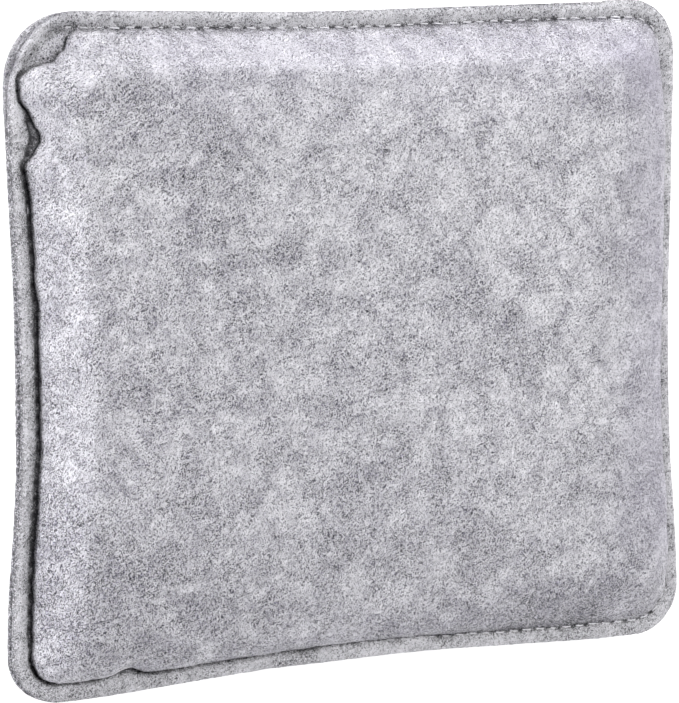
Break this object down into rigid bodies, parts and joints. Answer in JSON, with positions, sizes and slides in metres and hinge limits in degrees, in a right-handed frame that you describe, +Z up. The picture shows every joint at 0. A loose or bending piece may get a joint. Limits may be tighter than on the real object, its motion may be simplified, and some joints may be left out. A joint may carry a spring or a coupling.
{
  "type": "needle felting pad",
  "caption": "Flat sewn cushion of two grey felt plies over a foam slab, with a stitched flange right round, used as a soft base that felting needles are pushed into.",
  "frame": {"origin": "under the middle of the pad, on the surface that its back ply lies on", "axes": "+Z up out of the work face, +X along the longer side, +Y towards the upper side of the work face"},
  "size_m": [0.2, 0.18, 0.0296],
  "materials": {
    "felt": "matt mottled grey needle-punched felt",
    "foam": "open-cell foam, cream",
    "thread": "pale spun sewing thread"
  },
  "bodies": {
    "root": {"front_felt_panel": "felt", "back_felt_panel": "felt", "foam_core": "foam", "needle_thread": "thread", "bobbin_thread": "thread"}
  },
  "joints": []
}
